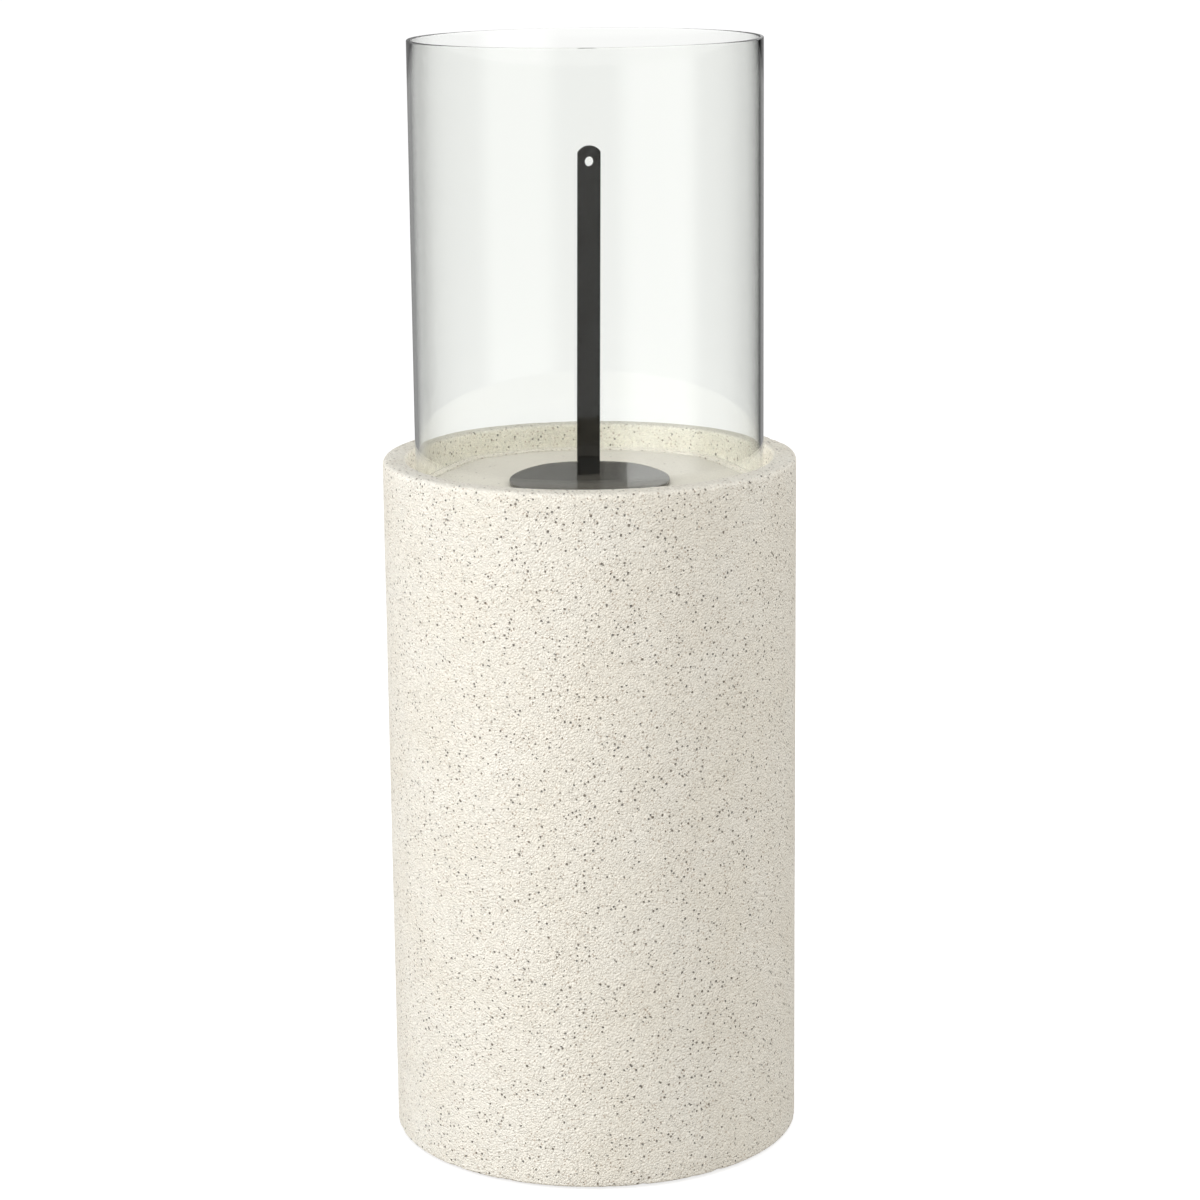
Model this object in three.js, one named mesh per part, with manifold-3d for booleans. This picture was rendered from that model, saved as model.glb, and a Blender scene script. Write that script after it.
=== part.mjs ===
// Garden fire lantern: a hollow stone-effect pedestal with a recessed top, a clear
// glass cylinder standing in the recess, and a liquid-fuel burner in the middle under
// a flat snuffer lid with a long upright handle.
//
// Millimetres, +Z up. The origin is the centre of the base, on the floor.
// The front of the lantern faces -Y.

import * as THREE from 'three';
import { mergeVertices } from 'three/addons/utils/BufferGeometryUtils.js';
import Module from 'manifold-3d';

const manifold = await Module();
manifold.setup();

// ---------------------------------------------------------------- driving dimensions

const GAP = 0.3;                 // air between pieces that rest on each other

const BODY_R = 130;              // pedestal, outside
const BODY_TOP = 440;
const BODY_WALL = 15;
const BODY_EDGE = 2;             // rounding of the bottom edge
const RIM_OUTER_EDGE = 3.5;      // rounding of the top rim
const RIM_INNER_EDGE = 2.5;

const RECESS_R = 115.2;          // recess in the top, which holds the glass
const RECESS_DEPTH = 15;
const RECESS_CORNER = 1.5;
const LEDGE_Z = BODY_TOP - RECESS_DEPTH;

const REBATE_R = 103.5;          // lower step in the recess, which holds the plate
const DECK_HOLE_R = 92;
const DECK_BOTTOM = 400;

const PLATE_R = 102.5;
const PLATE_T = 9;
const PLATE_SINK = 0.8;          // how far the plate lies below the glass's ledge
const PLATE_TOP = LEDGE_Z - PLATE_SINK;
const PLATE_BOTTOM = PLATE_TOP - PLATE_T;
const PLATE_EDGE = 0.5;
const PLATE_HOLE_R = 42;
const COUNTERBORE_R = 47.6;      // seat of the burner's flange
const COUNTERBORE_DEPTH = 1.2;
const REBATE_Z = PLATE_BOTTOM - GAP;

const GLASS_R = 109.4;
const GLASS_WALL = 2.5;
const GLASS_H = 273.5;
const GLASS_EDGE = 0.8;          // fire-polished rounding of both ends

const CUP_R = 41;
const CUP_WALL = 1;
const CUP_DEPTH = 58;
const CUP_CORNER = 4;
const FLANGE_R = 47;
const FLANGE_T = 1;
const FLANGE_TOP = PLATE_TOP - COUNTERBORE_DEPTH + GAP + FLANGE_T;
const CUP_FLOOR = FLANGE_TOP - CUP_DEPTH;

const SCREEN_R = 39.4;
const SCREEN_T = 0.8;
const SCREEN_TOP = FLANGE_TOP - 12;
const SCREEN_HOLE_R = 2.4;
const SCREEN_PITCH = 10.5;
const SCREEN_RINGS = 3;

const WOOL_R = 39.2;
const WOOL_EDGE = 4.5;

const DISK_R = 50.4;
const DISK_T = 2;
const DISK_BOTTOM = FLANGE_TOP + GAP;

const BAR_W = 15;                // the snuffer's flat-bar handle
const BAR_T = 1.5;
const BAR_TOP = 632;
const BAR_SET_BACK = 9.8;        // from the disk's centre to the bar's front face
const BAR_OFFSET = 3.2;          // from the disk's centre to the bar's centre line
const BAR_END_R = 9;
const BAR_LEAN = THREE.MathUtils.degToRad(0.77);   // sideways, across its own width
const BAR_HOLE_R = 3;
const BAR_HOLE_DROP = 9.8;       // from the bar's top to the centre of its hanging hole
const FOOT_REACH = 20;           // the bar's foot, bent forwards under the disk
const FOOT_INNER_BEND = 0.6;
const SNUFFER_TURN = THREE.MathUtils.degToRad(21);

const PAD_R = 4.5;
const PAD_T = 1;
const PAD_EDGE = 0.3;
const PAD_COUNT = 4;
const PAD_CIRCLE_R = 120.5;
const BODY_BOTTOM = PAD_T + GAP;

const FINE = 80;                 // sides of the large round pieces
const MEDIUM = 56;
const SMALL = 20;
const TINY = 8;
const FILLET_STEPS = 3;

// -------------------------------------------------------------------------- materials

function finish(color, roughness, metalness = 0, opacity = 1) {
  return new THREE.MeshStandardMaterial({
    color, roughness, metalness, opacity, transparent: opacity < 1,
  });
}

const finishes = {
  stone: () => finish(0xe9e4d6, 0.9),
  plate: () => finish(0xded9cb, 0.8),
  glass: () => finish(0xeef3ee, 0.03, 0, 0.35),
  steel: () => finish(0xb9bab8, 0.35, 1),
  wool: () => finish(0xf0eee8, 1),
  blackEnamel: () => finish(0x242320, 0.3),
  rubber: () => finish(0x24231f, 0.9),
};

// ------------------------------------------------------------------------ small shapes

// A corner of a profile: [radius, height, rounding]. Each rounded corner becomes an arc
// that is tangent to its two edges.
function roundCorner(before, corner, after) {
  const [r, z, rounding = 0] = corner;
  const at = new THREE.Vector2(r, z);
  if (rounding === 0) return [at];
  const toBefore = new THREE.Vector2(before[0] - r, before[1] - z).normalize();
  const toAfter = new THREE.Vector2(after[0] - r, after[1] - z).normalize();
  const half = Math.acos(toBefore.dot(toAfter)) / 2;
  const centre = toBefore.clone().add(toAfter).normalize();
  centre.multiplyScalar(rounding / Math.sin(half)).add(at);
  const tangent = rounding / Math.tan(half);
  const from = at.clone().addScaledVector(toBefore, tangent).sub(centre);
  const to = at.clone().addScaledVector(toAfter, tangent).sub(centre);
  const sweep = Math.atan2(from.cross(to), from.dot(to));
  const points = [];
  for (let i = 0; i <= FILLET_STEPS; i += 1) {
    const turned = from.clone().rotateAround(new THREE.Vector2(), (sweep * i) / FILLET_STEPS);
    points.push(turned.add(centre));
  }
  return points;
}

function profile(corners) {
  const last = corners.length - 1;
  return corners.flatMap((corner, i) => {
    const before = corners[i === 0 ? last : i - 1];
    const after = corners[i === last ? 0 : i + 1];
    return roundCorner(before, corner, after);
  });
}

// Turns a profile about the Z axis. The corners run anticlockwise, with the radius to the
// right and the height upwards, and either close on themselves or end on the axis.
function turned(corners, sides) {
  const points = profile(corners);
  const onAxis = corners[0][0] === 0;
  if (!onAxis) points.push(points[0].clone());
  return new THREE.LatheGeometry(points, sides).rotateX(Math.PI / 2);
}

function circle(radius, sides, x = 0, y = 0) {
  return Array.from({ length: sides }, (_, i) => {
    const angle = (2 * Math.PI * i) / sides;
    return new THREE.Vector2(x + radius * Math.cos(angle), y + radius * Math.sin(angle));
  });
}

function slab(shape, bottom, height) {
  const options = { depth: height, bevelEnabled: false, curveSegments: SMALL };
  return new THREE.ExtrudeGeometry(shape, options).translate(0, 0, bottom);
}

function toSolid(geometry) {
  const bare = geometry.clone();
  bare.deleteAttribute('normal');
  bare.deleteAttribute('uv');
  const merged = mergeVertices(bare, 1e-4);
  return new manifold.Manifold(new manifold.Mesh({
    numProp: 3,
    vertProperties: new Float32Array(merged.attributes.position.array),
    triVerts: new Uint32Array(merged.index.array),
  }));
}

function toGeometry(solid) {
  const mesh = solid.getMesh();
  const geometry = new THREE.BufferGeometry();
  geometry.setAttribute('position', new THREE.BufferAttribute(mesh.vertProperties, 3));
  geometry.setIndex(new THREE.BufferAttribute(mesh.triVerts, 1));
  geometry.computeVertexNormals();
  return geometry;
}

// -------------------------------------------------------------------------- the pieces

function pedestal() {
  const inner = BODY_R - BODY_WALL;
  return turned([
    [inner, BODY_BOTTOM, BODY_EDGE / 2],
    [BODY_R, BODY_BOTTOM, BODY_EDGE],
    [BODY_R, BODY_TOP, RIM_OUTER_EDGE],
    [RECESS_R, BODY_TOP, RIM_INNER_EDGE],
    [RECESS_R, LEDGE_Z, RECESS_CORNER],
    [REBATE_R, LEDGE_Z],
    [REBATE_R, REBATE_Z],
    [DECK_HOLE_R, REBATE_Z],
    [DECK_HOLE_R, DECK_BOTTOM],
    [inner, DECK_BOTTOM, BODY_WALL],
  ], FINE);
}

function plate() {
  return turned([
    [PLATE_HOLE_R, PLATE_BOTTOM],
    [PLATE_R, PLATE_BOTTOM],
    [PLATE_R, PLATE_TOP, PLATE_EDGE],
    [COUNTERBORE_R, PLATE_TOP],
    [COUNTERBORE_R, PLATE_TOP - COUNTERBORE_DEPTH],
    [PLATE_HOLE_R, PLATE_TOP - COUNTERBORE_DEPTH],
  ], FINE);
}

function glassTube() {
  const foot = LEDGE_Z + GAP;
  const inner = GLASS_R - GLASS_WALL;
  return turned([
    [inner, foot, GLASS_EDGE],
    [GLASS_R, foot, GLASS_EDGE],
    [GLASS_R, foot + GLASS_H, GLASS_EDGE],
    [inner, foot + GLASS_H, GLASS_EDGE],
  ], FINE);
}

function cup() {
  const inner = CUP_R - CUP_WALL;
  return turned([
    [0, CUP_FLOOR],
    [CUP_R, CUP_FLOOR, CUP_CORNER],
    [CUP_R, FLANGE_TOP - FLANGE_T],
    [FLANGE_R, FLANGE_TOP - FLANGE_T],
    [FLANGE_R, FLANGE_TOP],
    [inner, FLANGE_TOP],
    [inner, CUP_FLOOR + CUP_WALL, CUP_CORNER - CUP_WALL],
    [0, CUP_FLOOR + CUP_WALL],
  ], MEDIUM);
}

function woolPad() {
  const top = SCREEN_TOP - SCREEN_T - GAP;
  return turned([
    [0, CUP_FLOOR + CUP_WALL + GAP],
    [WOOL_R, CUP_FLOOR + CUP_WALL + GAP, WOOL_EDGE],
    [WOOL_R, top, 1],
    [0, top],
  ], MEDIUM / 2);
}

// Holes in rings of six, twelve and eighteen about a middle one.
function screen() {
  const shape = new THREE.Shape(circle(SCREEN_R, MEDIUM));
  for (let ring = 0; ring <= SCREEN_RINGS; ring += 1) {
    const count = Math.max(1, 6 * ring);
    for (let i = 0; i < count; i += 1) {
      const angle = (2 * Math.PI * i) / count;
      const x = ring * SCREEN_PITCH * Math.cos(angle);
      const y = ring * SCREEN_PITCH * Math.sin(angle);
      shape.holes.push(new THREE.Path(circle(SCREEN_HOLE_R, TINY, x, y)));
    }
  }
  return slab(shape, SCREEN_TOP - SCREEN_T, SCREEN_T);
}

// The snuffer's pieces lie in its own frame: x along the bar's width, -y to its front.
function snufferDisk() {
  const outline = new THREE.Shape(circle(DISK_R, FINE));
  const disk = toSolid(slab(outline, DISK_BOTTOM, DISK_T));
  const slotWidth = BAR_W + 2 * GAP;
  const slotLength = BAR_T + 2 * GAP;
  const slot = new THREE.BoxGeometry(slotWidth, slotLength, 3 * DISK_T);
  slot.translate(BAR_OFFSET, BAR_SET_BACK + BAR_T / 2, DISK_BOTTOM + DISK_T / 2);
  return toGeometry(disk.subtract(toSolid(slot)));
}

// Front view of the bar: straight sides, a shallow arc across the top and a hanging hole.
function barFront(bottom) {
  const half = BAR_W / 2;
  const arcCentre = BAR_TOP - BAR_END_R;
  const shoulder = Math.acos(half / BAR_END_R);
  const shape = new THREE.Shape();
  shape.moveTo(-half, bottom);
  shape.lineTo(half, bottom);
  shape.absarc(0, arcCentre, BAR_END_R, shoulder, Math.PI - shoulder);
  shape.closePath();
  shape.holes.push(new THREE.Path(circle(BAR_HOLE_R, SMALL, 0, BAR_TOP - BAR_HOLE_DROP)));
  return shape;
}

// Side view of the bar: upright, with its foot bent forwards.
function barSide(bottom) {
  const back = BAR_SET_BACK + BAR_T;
  const outerBend = FOOT_INNER_BEND + BAR_T;
  const points = profile([
    [back - FOOT_REACH, bottom],
    [back, bottom, outerBend],
    [back, BAR_TOP],
    [BAR_SET_BACK, BAR_TOP],
    [BAR_SET_BACK, bottom + BAR_T, FOOT_INNER_BEND],
    [back - FOOT_REACH, bottom + BAR_T],
  ]);
  return new THREE.Shape(points);
}

// The bar stands on its bent foot and leans slightly, so it is sheared sideways about the foot.
function snufferHandle() {
  const bottom = DISK_BOTTOM - GAP - BAR_T;
  const reach = 2 * FOOT_REACH;
  const front = slab(barFront(bottom), -reach, 2 * reach).rotateX(Math.PI / 2);
  const side = slab(barSide(bottom), -BAR_W, 2 * BAR_W);
  side.rotateX(Math.PI / 2).rotateZ(Math.PI / 2);
  const bar = toGeometry(toSolid(front).intersect(toSolid(side)));
  bar.translate(BAR_OFFSET, 0, -bottom);
  bar.applyMatrix4(new THREE.Matrix4().makeShear(0, 0, 0, 0, Math.tan(BAR_LEAN), 0));
  return bar.translate(0, 0, bottom);
}

function pad() {
  return turned([
    [0, 0],
    [PAD_R, 0, PAD_EDGE],
    [PAD_R, PAD_T],
    [0, PAD_T],
  ], SMALL);
}

// ------------------------------------------------------------------------ the assembly

const lantern = new THREE.Group();

function place(parent, name, geometry, material) {
  const mesh = new THREE.Mesh(geometry, material);
  mesh.name = name;
  parent.add(mesh);
  return mesh;
}

place(lantern, 'stone_body', pedestal(), finishes.stone());
place(lantern, 'burner_plate', plate(), finishes.plate());
place(lantern, 'glass_cylinder', glassTube(), finishes.glass());
place(lantern, 'burner_cup', cup(), finishes.steel());
place(lantern, 'ceramic_wool', woolPad(), finishes.wool());
place(lantern, 'burner_screen', screen(), finishes.steel());

const snuffer = new THREE.Group();
snuffer.rotation.z = SNUFFER_TURN;
place(snuffer, 'snuffer_disk', snufferDisk(), finishes.blackEnamel());
place(snuffer, 'snuffer_handle', snufferHandle(), finishes.blackEnamel());
lantern.add(snuffer);

for (let i = 0; i < PAD_COUNT; i += 1) {
  const angle = (2 * Math.PI * (i + 0.5)) / PAD_COUNT;
  const foot = place(lantern, `foot_pad_${i + 1}`, pad(), finishes.rubber());
  foot.position.set(PAD_CIRCLE_R * Math.cos(angle), PAD_CIRCLE_R * Math.sin(angle), 0);
}

export default lantern;
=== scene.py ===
"""Looks of the garden fire lantern: cast-stone pedestal, glass sleeve, burner and snuffer."""

import math

import bmesh
import bpy
import numpy as np
from mathutils import Matrix, Vector


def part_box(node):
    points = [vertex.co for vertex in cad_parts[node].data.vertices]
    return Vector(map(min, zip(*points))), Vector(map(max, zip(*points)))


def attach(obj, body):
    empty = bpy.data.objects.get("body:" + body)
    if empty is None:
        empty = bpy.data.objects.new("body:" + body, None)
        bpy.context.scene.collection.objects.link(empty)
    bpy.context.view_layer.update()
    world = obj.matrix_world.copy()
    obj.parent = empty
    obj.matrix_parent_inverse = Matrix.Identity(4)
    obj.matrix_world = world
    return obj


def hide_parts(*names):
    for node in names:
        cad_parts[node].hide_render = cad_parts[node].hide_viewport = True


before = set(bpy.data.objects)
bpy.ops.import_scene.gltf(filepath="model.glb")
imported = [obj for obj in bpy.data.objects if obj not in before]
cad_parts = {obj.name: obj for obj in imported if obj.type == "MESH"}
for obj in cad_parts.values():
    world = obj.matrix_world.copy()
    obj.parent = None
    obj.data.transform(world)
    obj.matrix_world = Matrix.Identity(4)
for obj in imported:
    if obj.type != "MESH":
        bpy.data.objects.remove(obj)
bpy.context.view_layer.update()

MM = 0.001
TAU = 2 * math.pi


# ------------------------------------------------------------------------------ camera

CAMERA_PLACE = (0.0, -2.054, 0.815)
CAMERA_PITCH = math.radians(12.87)       # below the horizon
CAMERA_TURN = math.radians(-0.16)
CAMERA_ROLL = math.radians(-0.59)
CAMERA_LENS = 99.5                       # mm
CAMERA_FAR = 200.0


def make_camera():
    """A camera in front of the lantern, pitched down, with a very small turn and roll."""
    data = bpy.data.cameras.new("camera")
    data.lens = CAMERA_LENS
    data.clip_end = CAMERA_FAR
    camera = bpy.data.objects.new("camera", data)
    bpy.context.scene.collection.objects.link(camera)
    heading = Matrix.Rotation(CAMERA_TURN, 4, "Z")
    tilt = Matrix.Rotation(math.pi / 2 - CAMERA_PITCH, 4, "X")
    roll = Matrix.Rotation(CAMERA_ROLL, 4, "Z")
    camera.matrix_world = Matrix.Translation(CAMERA_PLACE) @ heading @ tilt @ roll
    bpy.context.scene.camera = camera


make_camera()


# -------------------------------------------------------------------- material helpers

def colour(code):
    """Linear RGBA of an sRGB hex colour."""
    parts = [int(code[i:i + 2], 16) / 255 for i in (0, 2, 4)]
    linear = [p / 12.92 if p <= 0.04045 else ((p + 0.055) / 1.055) ** 2.4 for p in parts]
    return (*linear, 1.0)


def add(tree, kind, values=None, links=None, **settings):
    """Adds a node with its settings, the constants of its sockets and its incoming links."""
    node = tree.nodes.new(kind)
    for name, value in settings.items():
        setattr(node, name, value)
    for socket, value in (values or {}).items():
        node.inputs[socket].default_value = value
    for socket, source in (links or {}).items():
        tree.links.new(source, node.inputs[socket])
    return node


def new_material(name, constants):
    """A node material, its tree, its shader with constants set, and its place in mm."""
    material = bpy.data.materials.new(name)
    material.use_nodes = True
    tree = material.node_tree
    tree.nodes.clear()
    shader = add(tree, "ShaderNodeBsdfPrincipled", constants)
    add(tree, "ShaderNodeOutputMaterial", links={"Surface": shader.outputs["BSDF"]})
    place = add(tree, "ShaderNodeTexCoord").outputs["Object"]
    scaled = add(tree, "ShaderNodeMapping", {"Scale": (1000, 1000, 1000)}, {"Vector": place})
    return material, tree, shader, scaled.outputs["Vector"]


def from_axis(tree, place):
    """Distance from the lantern's axis, and height."""
    split = add(tree, "ShaderNodeSeparateXYZ", links={"Vector": place})
    level = add(tree, "ShaderNodeCombineXYZ", links={"X": split.outputs["X"], "Y": split.outputs["Y"]})
    radius = add(tree, "ShaderNodeVectorMath", links={0: level.outputs["Vector"]}, operation="LENGTH")
    return radius.outputs["Value"], split.outputs["Z"]


def facing_up(tree):
    """How far a surface faces up: 1 on a level top, 0 on an upright wall."""
    normal = add(tree, "ShaderNodeNewGeometry").outputs["Normal"]
    return add(tree, "ShaderNodeSeparateXYZ", links={"Vector": normal}).outputs["Z"]


GRAIN_CORE = 0.5           # part of a grain's radius inside which it is full


def grains(tree, place, spacing, largest, share):
    """Mask of scattered grains, and a random number for each one.

    Each grain is the point of a Voronoi cell, spacing mm apart on average. Its radius, up to
    largest mm, is drawn from the cell's own random colour, and only the given share shows.
    """
    cells = add(tree, "ShaderNodeTexVoronoi", {"Scale": 1 / spacing}, {"Vector": place})
    draw = add(tree, "ShaderNodeSeparateColor", links={"Color": cells.outputs["Color"]})
    radius = add(tree, "ShaderNodeMapRange",
                 {"From Min": 1 - share, "From Max": 1.0, "To Min": 0.0, "To Max": largest / spacing},
                 {"Value": draw.outputs["Red"]})
    core = add(tree, "ShaderNodeMath", {1: GRAIN_CORE}, {0: radius.outputs["Result"]},
               operation="MULTIPLY")
    mask = add(tree, "ShaderNodeMapRange", {"To Min": 1.0, "To Max": 0.0},
               {"Value": cells.outputs["Distance"], "From Min": core.outputs["Value"],
                "From Max": radius.outputs["Result"]})
    return mask.outputs["Result"], draw.outputs["Green"]


# --------------------------------------------------------------------------- materials

# Sizes are in mm.

PAINTED_LIGHT_R = 116.0                 # inside it the casting is the recess's wall or the ledge, brightened by painted light
PAINTED_LIGHT_BLEND = (PAINTED_LIGHT_R - 2, PAINTED_LIGHT_R + 1)
PAINTED_LIGHT_GAIN, PAINTED_TOP_SHADE = 1.11, 0.85     # painted light: brightness there; painted shade: brightness on tops outside it
TOP_SHADE_SLOPE = (0.5, 0.95)          # facing up this much, the painted shade begins and is full
SAND = 1.35
SAND_DARKER, SAND_PALER = 0.2, 0.06       # how far a grain may stray from the ground's shade
SPECK_SPACING, SPECK_R, SPECK_STRENGTH = 2.5, 0.95, 0.85
FRECKLE_SPACING, FRECKLE_R = 1.8, 0.85
CLOUD = 38.0
RAGGED, RAGGED_BY = 1.4, 0.8      # waves along a grain's outline, and how far they move it
GRAIN_TILT = (0.6, 0.7, 0.3)      # keeps layers of grains from lying along a wall as stripes


def painted_light_and_shade(tree, place):
    """Painted light and shade on the casting: brighter inside the recess, darker where it faces up."""
    radius, _ = from_axis(tree, place)
    top_shade = add(tree, "ShaderNodeMapRange",
                {"From Min": TOP_SHADE_SLOPE[0], "From Max": TOP_SHADE_SLOPE[1], "To Min": 1.0, "To Max": PAINTED_TOP_SHADE},
                {"Value": facing_up(tree)})
    return add(tree, "ShaderNodeMapRange",
               {"From Min": PAINTED_LIGHT_BLEND[0], "From Max": PAINTED_LIGHT_BLEND[1], "To Min": PAINTED_LIGHT_GAIN},
               {"Value": radius, "To Max": top_shade.outputs["Result"]}).outputs["Result"]


def casting(name, pale, warm, grain_share, grain_tint, relief, roughness):
    """Cast stone: cream cement with crushed dark aggregate, sand-blasted so that the grains show.

    It gives a matt cream ground, clouded over some centimetres and built of 1 to 2 mm sand grains
    that each have their own shade, with dark specks of about 1 mm, finer brown ones between them,
    and small pits where grains have dropped out. The sand is drawn coarser than its real 0.5 mm,
    which would not show.
    """
    material, tree, shader, place = new_material(name, {"Roughness": roughness, "IOR": 1.5})
    ragged = add(tree, "ShaderNodeTexNoise", {"Scale": 1 / RAGGED, "Detail": 1.0}, {"Vector": place})
    tilted = add(tree, "ShaderNodeMapping", {"Rotation": GRAIN_TILT}, {"Vector": place})
    wobble = add(tree, "ShaderNodeVectorMath", {1: (RAGGED_BY, RAGGED_BY, RAGGED_BY)},
                 {0: ragged.outputs["Color"], 2: tilted.outputs["Vector"]},
                 operation="MULTIPLY_ADD").outputs["Vector"]
    dark, tone = grains(tree, wobble, SPECK_SPACING, SPECK_R, grain_share)
    fine, _ = grains(tree, wobble, FRECKLE_SPACING, FRECKLE_R, grain_share)
    sand = add(tree, "ShaderNodeTexVoronoi", {"Scale": 1 / SAND}, {"Vector": wobble})
    own = add(tree, "ShaderNodeSeparateColor", links={"Color": sand.outputs["Color"]})
    cloud = add(tree, "ShaderNodeTexNoise", {"Scale": 1 / CLOUD, "Detail": 3.0}, {"Vector": place})
    ground = add(tree, "ShaderNodeMix", {6: colour(pale), 7: colour(warm)},
                 {0: cloud.outputs["Fac"]}, data_type="RGBA")
    shade = add(tree, "ShaderNodeMapRange",
                {"To Min": 1 - grain_tint * SAND_DARKER, "To Max": 1 + grain_tint * SAND_PALER},
                {"Value": own.outputs["Blue"]})
    # the grain's own shade times the painted light and shade
    grain_with_painted_light = add(tree, "ShaderNodeMath",
               links={0: shade.outputs["Result"], 1: painted_light_and_shade(tree, place)}, operation="MULTIPLY")
    sanded = add(tree, "ShaderNodeVectorMath",
                 links={0: ground.outputs[2], "Scale": grain_with_painted_light.outputs["Value"]}, operation="SCALE")
    freckle = add(tree, "ShaderNodeMath", {1: grain_tint}, {0: fine}, operation="MULTIPLY")
    freckled = add(tree, "ShaderNodeMix", {7: colour("8b6c50")},
                   {0: freckle.outputs["Value"], 6: sanded.outputs["Vector"]}, data_type="RGBA")
    mineral = add(tree, "ShaderNodeMix", {6: colour("6a5a47"), 7: colour("5b5a58")}, {0: tone},
                  data_type="RGBA")
    speck = add(tree, "ShaderNodeMath", {1: SPECK_STRENGTH}, {0: dark}, operation="MULTIPLY")
    speckled = add(tree, "ShaderNodeMix",
                   links={0: speck.outputs["Value"], 6: freckled.outputs[2], 7: mineral.outputs[2]},
                   data_type="RGBA")
    tree.links.new(speckled.outputs[2], shader.inputs["Base Color"])
    hollow = add(tree, "ShaderNodeMath", links={0: sand.outputs["Distance"], 1: dark}, operation="ADD")
    bump = add(tree, "ShaderNodeBump", {"Strength": 1.0, "Distance": relief * MM},
               {"Height": hollow.outputs["Value"]}, invert=True)
    tree.links.new(bump.outputs["Normal"], shader.inputs["Normal"])
    return material


def borosilicate_glass():
    """Drawn borosilicate tube: clear, perfectly smooth, faintly green where it is seen edge on.

    Light on its way to the stone and the burner passes straight through, as it all but does
    through a thin wall, so that they are lit evenly.
    """
    material, tree, shader, _ = new_material("borosilicate_glass", {
        "Base Color": colour("fcfdfb"), "Roughness": 0.0, "IOR": 1.473, "Transmission Weight": 1.0})
    clear = add(tree, "ShaderNodeBsdfTransparent", {"Color": colour("fefefd")})
    path = add(tree, "ShaderNodeLightPath")
    lit = add(tree, "ShaderNodeMixShader", links={
        0: path.outputs["Is Shadow Ray"], 1: shader.outputs["BSDF"], 2: clear.outputs["BSDF"]})
    seen = add(tree, "ShaderNodeMixShader", links={
        0: path.outputs["Is Diffuse Ray"], 1: lit.outputs["Shader"], 2: clear.outputs["BSDF"]})
    output = next(node for node in tree.nodes if node.type == "OUTPUT_MATERIAL")
    tree.links.new(seen.outputs["Shader"], output.inputs["Surface"])
    return material


PEEL, PEEL_DEPTH = 4.0, 0.0015
HAZE = 14.0
PAINTED_SHEEN_SLOPE = (0.6, 0.95)          # facing up this much, the painted sheen begins and is full
PAINTED_SHEEN_PATCHES = (0.33, 0.77)       # how much painted sheen shows where it is thin and where it is thick


def black_enamel():
    """Sprayed heat-resistant enamel on steel: near black, with a faint orange peel.

    It gives a deep gloss that mirrors the studio, greyed by a patchy painted sheen on what faces up.
    """
    material, tree, shader, place = new_material("black_enamel", {"IOR": 1.5})
    peel = add(tree, "ShaderNodeTexNoise", {"Scale": 1 / PEEL, "Detail": 0.0}, {"Vector": place})
    haze = add(tree, "ShaderNodeTexNoise", {"Scale": 1 / HAZE, "Detail": 4.0}, {"Vector": place})
    sheen = add(tree, "ShaderNodeMapRange", {"To Min": 0.02, "To Max": 0.06},
                {"Value": haze.outputs["Fac"]})
    sheen_on_tops = add(tree, "ShaderNodeMapRange", {"From Min": PAINTED_SHEEN_SLOPE[0], "From Max": PAINTED_SHEEN_SLOPE[1]},
                  {"Value": facing_up(tree)})
    sheen_patches = add(tree, "ShaderNodeMapRange", {"To Min": PAINTED_SHEEN_PATCHES[0], "To Max": PAINTED_SHEEN_PATCHES[1]},
                 {"Value": haze.outputs["Fac"]})
    # painted sheen: the black turns grey on what faces up, in patches
    painted_sheen = add(tree, "ShaderNodeMath",
               links={0: sheen_on_tops.outputs["Result"], 1: sheen_patches.outputs["Result"]}, operation="MULTIPLY")
    tint = add(tree, "ShaderNodeMix", {6: colour("12100d"), 7: colour("706c64")},
               {0: painted_sheen.outputs["Value"]}, data_type="RGBA")
    bump = add(tree, "ShaderNodeBump", {"Strength": 1.0, "Distance": PEEL_DEPTH * MM},
               {"Height": peel.outputs["Fac"]})
    tree.links.new(tint.outputs[2], shader.inputs["Base Color"])
    tree.links.new(sheen.outputs["Result"], shader.inputs["Roughness"])
    tree.links.new(bump.outputs["Normal"], shader.inputs["Normal"])
    return material


RING, RING_DEPTH = 0.35, 0.01
SOOT = 9.0


def spun_steel():
    """Stainless steel spun and polished on a lathe.

    It gives a satin gloss drawn out by fine rings about the axis, dulled by soot in patches.
    """
    material, tree, shader, place = new_material("spun_stainless_steel", {"Metallic": 1.0})
    radius, height = from_axis(tree, place)
    along = add(tree, "ShaderNodeCombineXYZ", links={"X": radius, "Z": height})
    rings = add(tree, "ShaderNodeTexNoise", {"Scale": 1 / RING, "Detail": 3.0},
                {"Vector": along.outputs["Vector"]})
    soot = add(tree, "ShaderNodeTexNoise", {"Scale": 1 / SOOT, "Detail": 3.0}, {"Vector": place})
    gloss = add(tree, "ShaderNodeMapRange", {"To Min": 0.22, "To Max": 0.46},
                {"Value": rings.outputs["Fac"]})
    tint = add(tree, "ShaderNodeMix", {6: colour("c2bfb8"), 7: colour("a39d92")},
               {0: soot.outputs["Fac"]}, data_type="RGBA")
    bump = add(tree, "ShaderNodeBump", {"Strength": 1.0, "Distance": RING_DEPTH * MM},
               {"Height": rings.outputs["Fac"]})
    tree.links.new(tint.outputs[2], shader.inputs["Base Color"])
    tree.links.new(gloss.outputs["Result"], shader.inputs["Roughness"])
    tree.links.new(bump.outputs["Normal"], shader.inputs["Normal"])
    return material


STRAND, STRAND_DEPTH = 0.4, 0.3
STRAND_STRETCH = (1.0, 0.12, 1.0)
STRAND_BEND, STRAND_BEND_BY = 6.0, 9.0


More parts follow.
